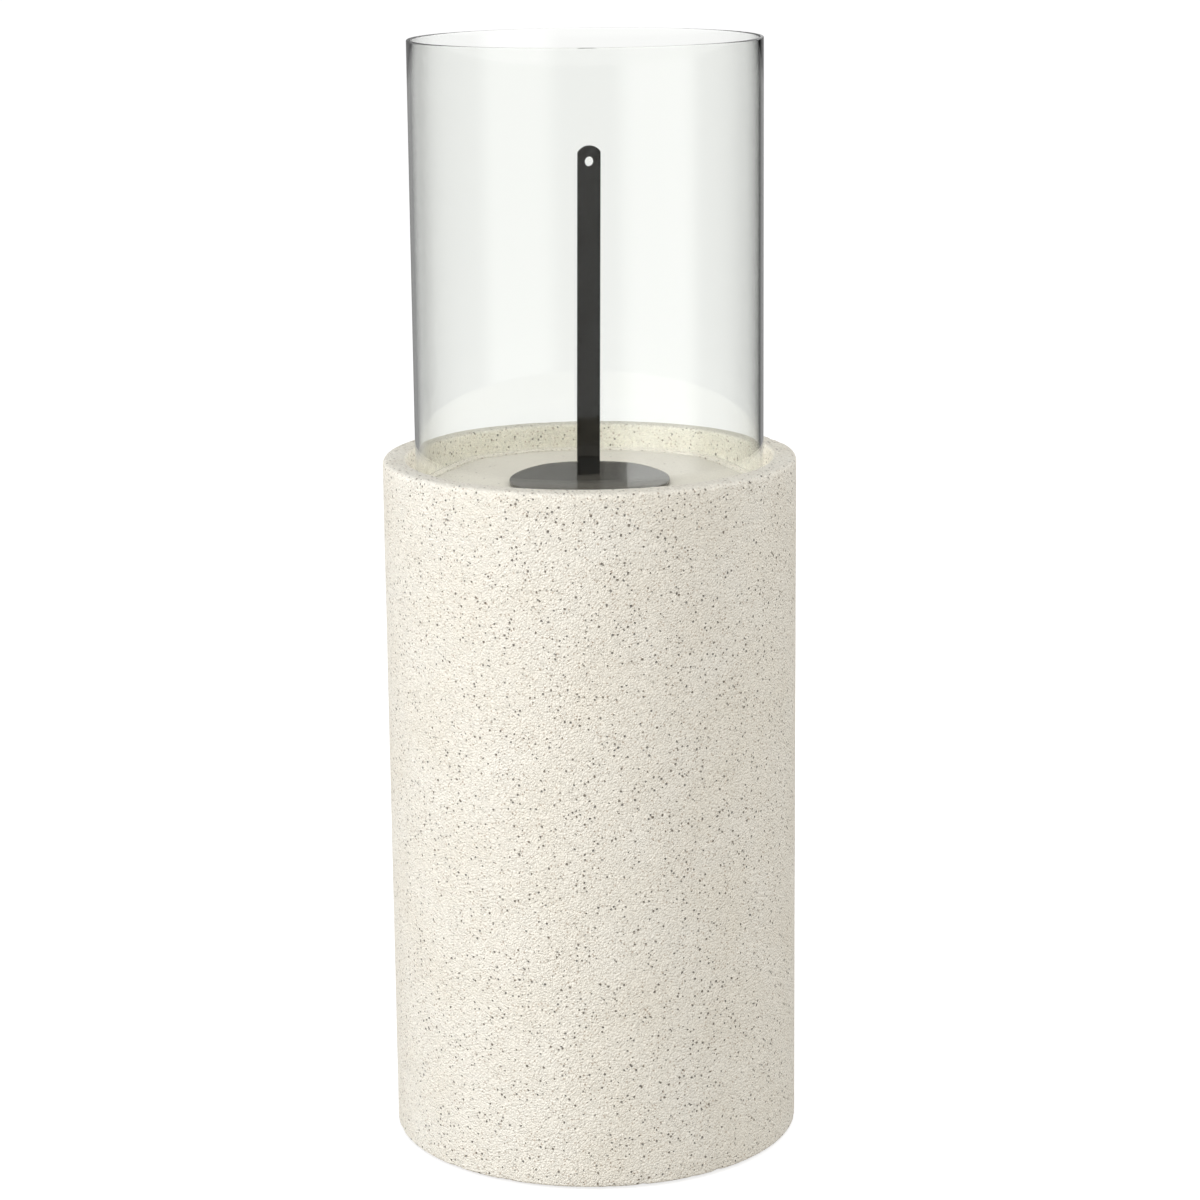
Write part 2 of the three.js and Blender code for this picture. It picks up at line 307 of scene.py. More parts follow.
def ceramic_fibre():
    """Ceramic wool: a white felt of long fibres.

    It gives a fully matt white with bent strands lying through it. They are drawn far thicker
    than the real fibres, which would not show.
    """
    material, tree, shader, place = new_material("ceramic_fibre", {"Roughness": 1.0, "Sheen Weight": 0.3})
    bend = add(tree, "ShaderNodeTexNoise", {"Scale": 1 / STRAND_BEND, "Detail": 2.0}, {"Vector": place})
    bent = add(tree, "ShaderNodeVectorMath", {1: (STRAND_BEND_BY, STRAND_BEND_BY, STRAND_BEND_BY)},
               {0: bend.outputs["Color"], 2: place}, operation="MULTIPLY_ADD")
    laid = add(tree, "ShaderNodeMapping", {"Scale": STRAND_STRETCH}, {"Vector": bent.outputs["Vector"]})
    strands = add(tree, "ShaderNodeTexNoise", {"Scale": 1 / STRAND, "Detail": 2.0},
                  {"Vector": laid.outputs["Vector"]})
    tint = add(tree, "ShaderNodeMix", {6: colour("d9d5cb"), 7: colour("f4f2ec")},
               {0: strands.outputs["Fac"]}, data_type="RGBA")
    bump = add(tree, "ShaderNodeBump", {"Strength": 1.0, "Distance": STRAND_DEPTH * MM},
               {"Height": strands.outputs["Fac"]})
    tree.links.new(tint.outputs[2], shader.inputs["Base Color"])
    tree.links.new(bump.outputs["Normal"], shader.inputs["Normal"])
    return material


RUBBER_GRAIN, RUBBER_GRAIN_DEPTH = 0.5, 0.05


def die_cut_rubber():
    """Rubber sheet cut with a die: black and matt, with a fine even grain."""
    material, tree, shader, place = new_material("die_cut_rubber", {"Roughness": 0.82, "IOR": 1.52})
    grain = add(tree, "ShaderNodeTexNoise", {"Scale": 1 / RUBBER_GRAIN, "Detail": 2.0}, {"Vector": place})
    tint = add(tree, "ShaderNodeMix", {6: colour("1b1a18"), 7: colour("2a2826")},
               {0: grain.outputs["Fac"]}, data_type="RGBA")
    bump = add(tree, "ShaderNodeBump", {"Strength": 1.0, "Distance": RUBBER_GRAIN_DEPTH * MM},
               {"Height": grain.outputs["Fac"]})
    tree.links.new(tint.outputs[2], shader.inputs["Base Color"])
    tree.links.new(bump.outputs["Normal"], shader.inputs["Normal"])
    return material


# ------------------------------------------------------------------------ mesh helpers

UNDIVIDED = math.inf              # longest step where straight stretches stay whole
TOUCHING = 0.001 * MM


def new_piece(name, points, faces, material, smooth_angle=35.0):
    """A mesh object at the origin from points and faces, shaded smooth up to smooth_angle degrees."""
    mesh = bpy.data.meshes.new(name)
    mesh.from_pydata(points.tolist(), [], faces)
    mesh.materials.append(material)
    mesh.shade_smooth()
    mesh.set_sharp_from_angle(angle=math.radians(smooth_angle))
    piece = bpy.data.objects.new(name, mesh)
    bpy.context.scene.collection.objects.link(piece)
    return piece


def rounded(corners, longest=10 * MM, arc_steps=6):
    """Outline of a closed profile of (radius, height, rounding) corners, as an array of (radius, height).

    A rounding is an arc tangent to the corner's two edges, and every stretch between arcs is
    divided evenly into steps no longer than longest. A corner without a rounding stays sharp.
    """
    bends = []
    for i, corner in enumerate(corners):
        at = np.array(corner[:2], float)
        size = corner[2] if len(corner) > 2 else 0.0
        back = np.array(corners[i - 1][:2], float) - at
        ahead = np.array(corners[(i + 1) % len(corners)][:2], float) - at
        back /= np.linalg.norm(back)
        ahead /= np.linalg.norm(ahead)
        half = math.acos(float(np.clip(back @ ahead, -1, 1))) / 2
        middle = (back + ahead) / np.linalg.norm(back + ahead)
        centre = at + middle * size / math.sin(half)
        start = at + back * size / math.tan(half) - centre
        end = at + ahead * size / math.tan(half) - centre
        sweep = math.atan2(start[0] * end[1] - start[1] * end[0], start @ end)
        turn = np.linspace(0, sweep, arc_steps + 1 if size else 1)
        bends.append(np.stack([centre[0] + start[0] * np.cos(turn) - start[1] * np.sin(turn),
                               centre[1] + start[0] * np.sin(turn) + start[1] * np.cos(turn)], 1))
    outline = []
    for bend, after in zip(bends, bends[1:] + bends[:1]):
        gap = after[0] - bend[-1]
        steps = max(1, math.ceil(np.linalg.norm(gap) / longest))
        inner = np.arange(1, steps)[:, None] / steps
        outline += [bend, bend[-1] + gap * inner]
    return np.concatenate(outline)


def turned(outline, sides):
    """Points (sides by rows by 3) and faces of an outline turned round the Z axis.

    Point (i, j) is the outline's point j, (r, z), at the angle a of side i: (r cos a, r sin a, z).
    The outline runs anticlockwise with r to the right. One that starts on the axis ends on it
    too: each end is then a pole, closed by a fan of triangles.
    """
    off_axis = outline[:, 0] > 1e-9
    ring = outline[off_axis]
    solid = len(ring) < len(outline)
    angle = np.arange(sides) * TAU / sides
    r, z = ring.T
    grid = np.stack([np.outer(np.cos(angle), r), np.outer(np.sin(angle), r),
                     np.tile(z, (sides, 1))], -1)
    rows = len(ring)
    side = np.arange(sides)[:, None] * rows
    after = np.roll(side, -1, 0)
    row = np.arange(rows - 1 if solid else rows)
    above = (row + 1) % rows
    faces = np.stack([side + row, after + row, after + above, side + above], -1).reshape(-1, 4).tolist()
    points = grid.reshape(-1, 3)
    if solid:
        poles = [[0, 0, outline[0, 1]], [0, 0, outline[rows + 1, 1]]]
        pole = np.full_like(side, len(points))
        last = rows - 1
        faces += np.hstack([pole, after, side]).tolist()
        faces += np.hstack([pole + 1, side + last, after + last]).tolist()
        points = np.concatenate([points, poles])
    return points, faces


def waves(points, lengths, seed):
    """Smooth random relief from 0 to 1: the mean of cosines along random directions, one per length."""
    rng = np.random.default_rng(seed)
    ways = rng.normal(size=(len(lengths), 3))
    ways /= np.linalg.norm(ways, axis=1)[:, None]
    phases = rng.uniform(0, TAU, len(lengths))
    turns = points @ (ways / np.array(lengths)[:, None]).T * TAU + phases
    return 0.5 + 0.5 * np.cos(turns).mean(1)


def ring_normals(points, sides):
    """Outward unit normals of a turned grid: the cross product of its steps round and along."""
    grid = points.reshape(sides, -1, 3)
    around = np.roll(grid, -1, 0) - np.roll(grid, 1, 0)
    along = np.roll(grid, -1, 1) - np.roll(grid, 1, 1)
    normal = np.cross(around, along).reshape(-1, 3)
    return normal / np.linalg.norm(normal, axis=1)[:, None]


def cut(piece, cutter):
    """Takes cutter out of piece, applies the result and removes cutter."""
    modifier = piece.modifiers.new("cut", "BOOLEAN")
    modifier.operation = "DIFFERENCE"
    modifier.solver = "EXACT"
    modifier.object = cutter
    graph = bpy.context.evaluated_depsgraph_get()
    mesh = bpy.data.meshes.new_from_object(piece.evaluated_get(graph))
    piece.modifiers.clear()
    piece.data = mesh
    bpy.data.objects.remove(cutter)


def bevel(piece, width, angle=40.0, segments=3):
    """Breaks the edges that turn by more than angle degrees with a narrow round."""
    modifier = piece.modifiers.new("edge_break", "BEVEL")
    modifier.width = width
    modifier.segments = segments
    modifier.limit_method = "ANGLE"
    modifier.angle_limit = math.radians(angle)


def close_seams(piece):
    """Merges points that lie together and points every face outwards."""
    work = bmesh.new()
    work.from_mesh(piece.data)
    bmesh.ops.remove_doubles(work, verts=work.verts, dist=TOUCHING)
    bmesh.ops.recalc_face_normals(work, faces=work.faces)
    work.to_mesh(piece.data)
    work.free()


def settle(piece, body, slot, *nodes):
    """Makes a piece ride on its body and stand for its CAD nodes, which it hides. The slot argument is
    not used.
    """
    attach(piece, body)
    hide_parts(*nodes)


# ---------------------------------------------------------------------------- pedestal

BODY_SIDES = 600
BODY_WALL = 15 * MM
RECESS_R = 115.2 * MM
RECESS_DEPTH = 15 * MM
REBATE_R = 103.5 * MM
REBATE_DEPTH = 10.1 * MM
DECK_HOLE_R = 92 * MM
DECK_BOTTOM = 400 * MM
RIM_ROUND = 3.5 * MM
RECESS_ROUND = 2.5 * MM
LEDGE_ROUND = 1.5 * MM
BASE_ROUND = 2 * MM
HIDDEN_ROUND = 1 * MM
STEP_EDGE = 0.3 * MM
CAST_EDGE = 0.4 * MM
DECK_FILLET = 15 * MM
UNEVEN_DEPTH, UNEVEN_LENGTHS = 0.25 * MM, np.geomspace(30, 160, 12) * MM
GRAINY_DEPTH, GRAINY_LENGTHS = 0.08 * MM, np.geomspace(5, 14, 14) * MM
NICK_COUNT = 26
NICK_DEPTHS = (0.3, 0.9)          # mm
NICK_WIDTHS = (1.2, 3.2)          # mm
RIM_NICK_INSET = 1 * MM
BASE_NICK_INSET = 0.6 * MM


def nicks(points, ring_r, height, seed):
    """Depth of small chips along a round edge: bell-shaped dents at random angles."""
    rng = np.random.default_rng(seed)
    angle = rng.uniform(0, TAU, NICK_COUNT)
    centre = np.stack([ring_r * np.cos(angle), ring_r * np.sin(angle), np.full(NICK_COUNT, height)], 1)
    depth = rng.uniform(*NICK_DEPTHS, NICK_COUNT) * MM
    width = rng.uniform(*NICK_WIDTHS, NICK_COUNT) * MM
    away = np.linalg.norm(points[:, None, :] - centre[None, :, :], axis=2)
    return (depth * np.exp(-((away / width) ** 2))).max(1)


def pedestal(material):
    """The hollow casting: its profile turned round the axis, then pushed in along its normals.

    The push is the sum of long soft waves, short ones for the cast grain, and the edges' chips.
    """
    low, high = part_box("stone_body")
    outer, bottom, top = high.x, low.z, high.z
    inner = outer - BODY_WALL
    ledge = top - RECESS_DEPTH
    rebate = ledge - REBATE_DEPTH
    outline = rounded([
        (inner, bottom, HIDDEN_ROUND),
        (outer, bottom, BASE_ROUND),
        (outer, top, RIM_ROUND),
        (RECESS_R, top, RECESS_ROUND),
        (RECESS_R, ledge, LEDGE_ROUND),
        (REBATE_R, ledge, STEP_EDGE),
        (REBATE_R, rebate, CAST_EDGE),
        (DECK_HOLE_R, rebate, CAST_EDGE),
        (DECK_HOLE_R, DECK_BOTTOM, HIDDEN_ROUND),
        (inner, DECK_BOTTOM, DECK_FILLET),
    ], longest=8 * MM)
    points, faces = turned(outline, BODY_SIDES)
    uneven = UNEVEN_DEPTH * waves(points, UNEVEN_LENGTHS, seed=3)
    grainy = GRAINY_DEPTH * waves(points, GRAINY_LENGTHS, seed=4)
    chipped = nicks(points, outer - RIM_NICK_INSET, top - RIM_NICK_INSET, seed=5)
    chipped += nicks(points, outer - BASE_NICK_INSET, bottom + BASE_NICK_INSET, seed=6)
    depth = (uneven + grainy + chipped)[:, None]
    points = points - ring_normals(points, BODY_SIDES) * depth
    piece = new_piece("pedestal_casting", points, faces, material, smooth_angle=60.0)
    settle(piece, "pedestal", "stone", "stone_body")


# ------------------------------------------------------------------------------- plate

PLATE_SIDES = 256
PLATE_HOLE_R = 42 * MM
COUNTERBORE_R = 47.6 * MM
COUNTERBORE_DEPTH = 1.2 * MM
COUNTERBORE_FILLET = 0.2 * MM
PLATE_EDGE = 0.4 * MM
PLATE_RIM_ROUND = 0.5 * MM
PLATE_HOLE_EDGE = 0.3 * MM
PLATE_DEPTH, PLATE_LENGTHS = 0.1 * MM, np.geomspace(12, 70, 12) * MM


def plate(material):
    """The burner's plate: a counterbored ring's profile turned round the axis, with soft waves."""
    low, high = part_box("burner_plate")
    outline = rounded([
        (PLATE_HOLE_R, low.z, PLATE_EDGE),
        (high.x, low.z, PLATE_EDGE),
        (high.x, high.z, PLATE_RIM_ROUND),
        (COUNTERBORE_R, high.z, PLATE_EDGE),
        (COUNTERBORE_R, high.z - COUNTERBORE_DEPTH, COUNTERBORE_FILLET),
        (PLATE_HOLE_R, high.z - COUNTERBORE_DEPTH, PLATE_HOLE_EDGE),
    ], longest=4 * MM)
    points, faces = turned(outline, PLATE_SIDES)
    depth = PLATE_DEPTH * waves(points, PLATE_LENGTHS, seed=8)
    points = points - ring_normals(points, PLATE_SIDES) * depth[:, None]
    piece = new_piece("burner_plate_casting", points, faces, material)
    settle(piece, "pedestal", "plate", "burner_plate")


# ------------------------------------------------------------------------------- glass

GLASS_SIDES = 384
GLASS_WALL = 2.5 * MM
GLASS_EDGE = 0.9 * MM


def glass_sleeve(material):
    """An open tube: a tall thin rectangle with fire-polished corners, turned round the axis."""
    low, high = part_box("glass_cylinder")
    inner = high.x - GLASS_WALL
    outline = rounded([
        (inner, low.z, GLASS_EDGE),
        (high.x, low.z, GLASS_EDGE),
        (high.x, high.z, GLASS_EDGE),
        (inner, high.z, GLASS_EDGE),
    ], longest=30 * MM, arc_steps=8)
    points, faces = turned(outline, GLASS_SIDES)
    piece = new_piece("glass_sleeve", points, faces, material, smooth_angle=60.0)
    settle(piece, "glass", "glass", "glass_cylinder")


# ------------------------------------------------------------------------------ burner

CUP_SIDES = 160
CUP_R = 41 * MM
CUP_WALL = 1 * MM
CUP_CORNER = 4 * MM
FLANGE_T = 1 * MM
FLANGE_FILLET = 0.4 * MM
FLANGE_EDGE = 0.45 * MM
MOUTH_ROUND = 1.3 * MM


def fuel_cup(material):
    """A can with a flat flange: its wall's profile turned round the axis, closed at the bottom."""
    low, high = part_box("burner_cup")
    inner = CUP_R - CUP_WALL
    outline = rounded([
        (0, low.z),
        (CUP_R, low.z, CUP_CORNER),
        (CUP_R, high.z - FLANGE_T, FLANGE_FILLET),
        (high.x, high.z - FLANGE_T, FLANGE_EDGE),
        (high.x, high.z, FLANGE_EDGE),
        (inner, high.z, MOUTH_ROUND),
        (inner, low.z + CUP_WALL, CUP_CORNER - CUP_WALL),
        (0, low.z + CUP_WALL),
    ], longest=5 * MM)
    points, faces = turned(outline, CUP_SIDES)
    piece = new_piece("fuel_cup", points, faces, material)
    settle(piece, "burner", "steel", "burner_cup")


WOOL_SIDES = 96
WOOL_BASE_ROUND = 4.5 * MM
WOOL_TOP_ROUND = 2 * MM
TUFT_DEPTH, TUFT_LENGTHS = 1.4 * MM, np.geomspace(2.5, 14, 30) * MM
DRAWN_IN = 0.5                    # part of a tuft's depth by which the side gives way


def wool_pad(material):
    """A tufted round pad: a turned rectangle sunk by random waves.

    The waves lower each point, the more the higher it lies, and draw it in towards the axis.
    """
    low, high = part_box("ceramic_wool")
    outline = rounded([
        (0, low.z),
        (high.x, low.z, WOOL_BASE_ROUND),
        (high.x, high.z, WOOL_TOP_ROUND),
        (0, high.z),
    ], longest=1.2 * MM)
    points, faces = turned(outline, WOOL_SIDES)
    radius = np.linalg.norm(points[:, :2], axis=1)
    tufts = TUFT_DEPTH * waves(points, TUFT_LENGTHS, seed=12)
    height = np.clip((points[:, 2] - low.z) / (high.z - low.z), 0, 1)
    points[:, 2] -= tufts * height
    points[:, :2] *= (1 - DRAWN_IN * tufts / np.maximum(radius, 1 * MM))[:, None]
    piece = new_piece("ceramic_wool_pad", points, faces, material, smooth_angle=80.0)
    settle(piece, "burner", "wool", "ceramic_wool")


SCREEN_SIDES = 128
SCREEN_HOLE_R = 2.4 * MM
SCREEN_HOLE_SIDES = 32
SCREEN_PITCH = 10.5 * MM
SCREEN_RINGS = 3
SCREEN_EDGE = 0.12 * MM


def upright_punch(x, y, radius, low, high):
    """A round bar from low to high, centred on (x, y): a turned rectangle, moved."""
    outline = rounded([(0, low), (radius, low), (radius, high), (0, high)], UNDIVIDED)
    points, faces = turned(outline, SCREEN_HOLE_SIDES)
    return new_piece("punch", points + np.array([x, y, 0]), faces, None)


def burner_screen(material):
    """A thin turned rectangle, punched in the middle and in rings of 6, 12 and 18 holes round it."""
    low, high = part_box("burner_screen")
    outline = rounded([(0, low.z), (high.x, low.z), (high.x, high.z), (0, high.z)], UNDIVIDED)
    points, faces = turned(outline, SCREEN_SIDES)
    piece = new_piece("burner_screen_plate", points, faces, material)
    for ring in range(SCREEN_RINGS + 1):
        count = max(1, 6 * ring)
        for i in range(count):
            angle = TAU * i / count
            x = ring * SCREEN_PITCH * math.cos(angle)
            y = ring * SCREEN_PITCH * math.sin(angle)
            cut(piece, upright_punch(x, y, SCREEN_HOLE_R, low.z - MM, high.z + MM))
    bevel(piece, SCREEN_EDGE, segments=2)
    settle(piece, "burner", "steel", "burner_screen")


# ----------------------------------------------------------------------------- snuffer

SNUFFER_TURN = math.radians(21)
DISK_SIDES = 192
DISK_EDGE = 0.3 * MM
BAR_W = 15 * MM
BAR_T = 1.5 * MM
BAR_SET_BACK = 9.8 * MM
BAR_OFFSET = 3.2 * MM
BAR_END_R = 9 * MM
BAR_HOLE_R = 3 * MM
BAR_HOLE_DROP = 9.8 * MM
BAR_HOLE_SIDES = 48
BAR_LEAN = math.radians(0.77)     # sideways, across its own width
BAR_EDGE = 0.22 * MM
FOOT_REACH = 20 * MM
FOOT_BEND = 1.35 * MM             # to the middle of the bar's thickness
FOOT_TIP = 2 * MM
TIP_STEPS, FOOT_STEPS, BEND_STEPS, BAR_STEPS, END_STEPS = 7, 4, 9, 24, 13
SLOT_GAP = 0.3 * MM
CUT_DEPTH = 6 * MM                # through the lid, with room to spare
PUNCH_REACH = 5 * MM
WELD = (0.4 * MM, -5.6 * MM)      # in the snuffer's own frame
DENT_DEPTH, DENT_R = 0.12, 5.0    # mm
LIP_HEIGHT, LIP_R, LIP_W = 0.05, 10.0, 3.5        # mm


def turn_snuffer(points):
    """The snuffer's own frame, x along the bar's width and -y to its front, turned into place."""
    c, s = math.cos(SNUFFER_TURN), math.sin(SNUFFER_TURN)
    x, y, z = points.T
    return np.stack([c * x - s * y, s * x + c * y, z], 1)


def lean(points, foot):
    """Leans the bar sideways about its foot: x grows with the height above the foot."""
    return points + np.outer((points[:, 2] - foot) * math.tan(BAR_LEAN), [1, 0, 0])


def slot_cutter(size, centre):
    """A box in the snuffer's own frame: its corners are centre plus or minus half of size."""
    signs = np.array([(x, y, z) for z in (-1, 1) for y in (-1, 1) for x in (-1, 1)], float)
    points = np.array(centre) + signs * size / 2
    faces = [(0, 2, 3, 1), (4, 5, 7, 6), (0, 1, 5, 4), (2, 6, 7, 3), (0, 4, 6, 2), (1, 3, 7, 5)]
    return new_piece("slot", turn_snuffer(points), faces, None)


def snuffer_disk(material):
    """A flat round lid, puckered where the handle's foot is welded under it.

    Its top lies a lip's height below the CAD face, sinks further in a bell about the weld, and
    rises back in a bell-shaped ring round that.
    """
    low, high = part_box("snuffer_disk")
    radius = max(high.x, -low.x)
    outline = rounded([
        (0, low.z),
        (radius, low.z, DISK_EDGE),
        (radius, high.z, DISK_EDGE),
        (0, high.z),
    ], longest=1.2 * MM)
    points, faces = turned(outline, DISK_SIDES)
    away = np.hypot(points[:, 0] - WELD[0], points[:, 1] - WELD[1]) / MM
    dent = DENT_DEPTH * np.exp(-((away / DENT_R) ** 2))
    lip = LIP_HEIGHT * np.exp(-(((away - LIP_R) / LIP_W) ** 2))
    on_top = points[:, 2] > (low.z + high.z) / 2
    points[:, 2] -= np.where(on_top, np.maximum(dent - lip + LIP_HEIGHT, 0.0), 0) * MM
    piece = new_piece("snuffer_lid", turn_snuffer(points), faces, material)
    slot = np.array([BAR_W + 2 * SLOT_GAP, BAR_T + 2 * SLOT_GAP, CUT_DEPTH])
    cut(piece, slot_cutter(slot, (BAR_OFFSET, BAR_SET_BACK + BAR_T / 2, high.z)))
    settle(piece, "snuffer", "black_enamel", "snuffer_disk")


def bar_line(bottom, top):
    """The bar's centre line from the foot's tip to the top, as (y, z), its normals and half widths.

    It runs back along the foot, round a quarter circle and straight up. The half width is that
    of the bar, less a rounded corner at the foot's tip, and shrinks as the chord of a circle at
    the top.
    """
    back = BAR_SET_BACK + BAR_T / 2
    tip = BAR_SET_BACK + BAR_T - FOOT_REACH
    level = bottom + BAR_T / 2
    turn = np.linspace(0, math.pi / 2, BEND_STEPS)
    tip_y = tip + FOOT_TIP * (1 - np.cos(np.linspace(0, math.pi / 2, TIP_STEPS)))
    foot_y = np.concatenate([tip_y, np.linspace(tip + FOOT_TIP, back - FOOT_BEND, FOOT_STEPS)[1:-1]])
    bend_y = back - FOOT_BEND + FOOT_BEND * np.sin(turn)
    bend_z = level + FOOT_BEND * (1 - np.cos(turn))
    shoulder = math.acos(BAR_W / 2 / BAR_END_R)
    rise = np.linspace(shoulder, math.pi / 2, END_STEPS)
    end_z = top - BAR_END_R + BAR_END_R * np.sin(rise)
    up_z = np.linspace(bend_z[-1], end_z[0], BAR_STEPS)[1:-1]
    upright = len(up_z) + len(end_z)
    y = np.concatenate([foot_y, bend_y, np.full(upright, back)])
    z = np.concatenate([np.full(len(foot_y), level), bend_z, up_z, end_z])
    steepness = np.concatenate([np.zeros(len(foot_y)), turn, np.full(upright, math.pi / 2)])
    normal = np.stack([np.sin(steepness), -np.cos(steepness)], 1)
    near_tip = np.clip((FOOT_TIP - (y - tip)) / FOOT_TIP, 0, 1) * (z < level + MM)
    half = BAR_W / 2 - FOOT_TIP * (1 - np.sqrt(1 - near_tip**2))
    half[-len(end_z):] = BAR_END_R * np.cos(rise)
    return np.stack([y, z], 1), normal, half


def hole_punch(foot, height):
    """A level round bar through the handle's end: a turned rectangle laid along the bar's thickness."""
    corners = [(0, -PUNCH_REACH), (BAR_HOLE_R, -PUNCH_REACH), (BAR_HOLE_R, PUNCH_REACH), (0, PUNCH_REACH)]
    points, faces = turned(rounded(corners, UNDIVIDED), BAR_HOLE_SIDES)
    x, y, z = points.T
    laid = np.stack([x + BAR_OFFSET, z + BAR_SET_BACK, height - y], 1)
    return new_piece("punch", turn_snuffer(lean(laid, foot)), faces, None)


def snuffer_bar(material):
    """A flat bar bent into a foot: the four corners of its section carried along its centre line."""
    low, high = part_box("snuffer_handle")
    line, normal, half = bar_line(low.z, high.z)
    corners = [(-1, 1), (1, 1), (1, -1), (-1, -1)]
    section = [np.column_stack([BAR_OFFSET + side * half, line + out * normal * BAR_T / 2])
               for side, out in corners]
    points = np.stack(section, 1).reshape(-1, 3)
    start = np.arange(len(line) - 1)[:, None] * 4
    k = np.arange(4)
    after = (k + 1) % 4
    quads = np.stack([start + k, start + after, start + 4 + after, start + 4 + k], -1).reshape(-1, 4)
    last = 4 * (len(line) - 1)
    faces = quads.tolist() + [[3, 2, 1, 0], [last, last + 1, last + 2, last + 3]]
    piece = new_piece("snuffer_bar", turn_snuffer(lean(points, low.z)), faces, material)
    close_seams(piece)
    cut(piece, hole_punch(low.z, high.z - BAR_HOLE_DROP))
    bevel(piece, BAR_EDGE)
    settle(piece, "snuffer", "black_enamel", "snuffer_handle")


# --------------------------------------------------------------------------- foot pads

PAD_COUNT = 4
PAD_SIDES = 48
PAD_LOW_EDGE = 0.4 * MM
PAD_TOP_EDGE = 0.2 * MM


def foot_pads(material):
    """Round pads under the wall: a turned rectangle, moved to each pad's place."""
    for number in range(1, PAD_COUNT + 1):
        node = f"foot_pad_{number}"
        low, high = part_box(node)
        centre = (np.array(low) + np.array(high)) / 2
        radius = (high.x - low.x) / 2
        outline = rounded([
            (0, low.z),
            (radius, low.z, PAD_LOW_EDGE),
            (radius, high.z, PAD_TOP_EDGE),
            (0, high.z),
        ], longest=2 * MM)
        points, faces = turned(outline, PAD_SIDES)
        points = points + np.array([centre[0], centre[1], 0])
        settle(new_piece(f"rubber_pad_{number}", points, faces, material), "pedestal", "rubber", node)


# ------------------------------------------------------------------------------- stage

# Places and sizes are in metres, powers in watts.

FLOOR_REACH = 60.0
FLOOR_SEEN = (0.45, 0.45, 0.45, 1)
FLOOR_BOUNCE = (0.13, 0.1, 0.06, 1)
SEEN_GLOW, BOUNCE_GLOW = 0.65, 0.2
SKY, SKY_BEHIND = 0.84, 0.1
FRONT_GLOW, BACK_GLOW, STEEP_GLOW, DARK = 1.25, 0.33, 0.9, 0.02

# Where each change of glow starts and ends, as one part of a direction of length 1.
FRONT_BY_X, BACK_BY_X = (0.25, 0.55), (0.3, 0.5)
FRONT_BY_Y, BACK_BY_Y, SKY_BY_Y = (-0.45, -0.12), (0.62, 0.8), (0.85, 0.95)
STEEP_BY_Z = (-0.35, -0.6)

LAMP_AIM = (0.0, 0.0, 0.35)
KEY_PLACE = (-2.3, -0.9, 1.0)
KEY_SIZE = 2.0
KEY_TINT = (0.975, 0.99, 1.02)
KEY_POWER = 44.0
FILL_PLACE = (0.5, -3.4, 1.3)
FILL_SIZE = 1.8
FILL_POWER = 43.0
EDGE_PLACE = (2.0, 1.2, 1.2)
EDGE_SIZE = 1.2
EDGE_POWER = 15.0
PANEL_BACK, PANEL_HEIGHT, PANEL_AIM_HEIGHT = 1.5, 1.36, 0.5
PANEL_SIZE = (1.2, 1.4)
LEFT_PANEL = (-0.61, 1.0)         # place across, and power
RIGHT_PANEL = (0.649, 2.8)


def floor():
    """A floor seen white mostly by its own glow, so that no lamp draws an edge on it.

    It throws back less light than it seems to, as if it ended not far away. Mirror images don't
    show it, but the studio below the horizon.
    """
    material, tree, shader, _ = new_material("studio_floor", {
        "Roughness": 0.9, "Emission Color": (1, 1, 1, 1)})
    path = add(tree, "ShaderNodeLightPath")
    tint = add(tree, "ShaderNodeMix", {6: FLOOR_SEEN, 7: FLOOR_BOUNCE},
               {0: path.outputs["Is Diffuse Ray"]}, data_type="RGBA")
    glow = add(tree, "ShaderNodeMapRange", {"To Min": SEEN_GLOW, "To Max": BOUNCE_GLOW},
               {"Value": path.outputs["Is Diffuse Ray"]})
    tree.links.new(tint.outputs[2], shader.inputs["Base Color"])
    tree.links.new(glow.outputs["Result"], shader.inputs["Emission Strength"])
    mirrored = add(tree, "ShaderNodeMath", {1: 0.5}, {0: path.outputs["Glossy Depth"]},
                   operation="GREATER_THAN")
    nothing = add(tree, "ShaderNodeBsdfTransparent")
    shown = add(tree, "ShaderNodeMixShader", links={
        0: mirrored.outputs["Value"], 1: shader.outputs["BSDF"], 2: nothing.outputs["BSDF"]})
    output = next(node for node in tree.nodes if node.type == "OUTPUT_MATERIAL")
    tree.links.new(shown.outputs["Shader"], output.inputs["Surface"])
    signs = np.array([(-1, -1, 0), (1, -1, 0), (1, 1, 0), (-1, 1, 0)])
    new_piece("studio_floor", signs * FLOOR_REACH, [[0, 1, 2, 3]], material)


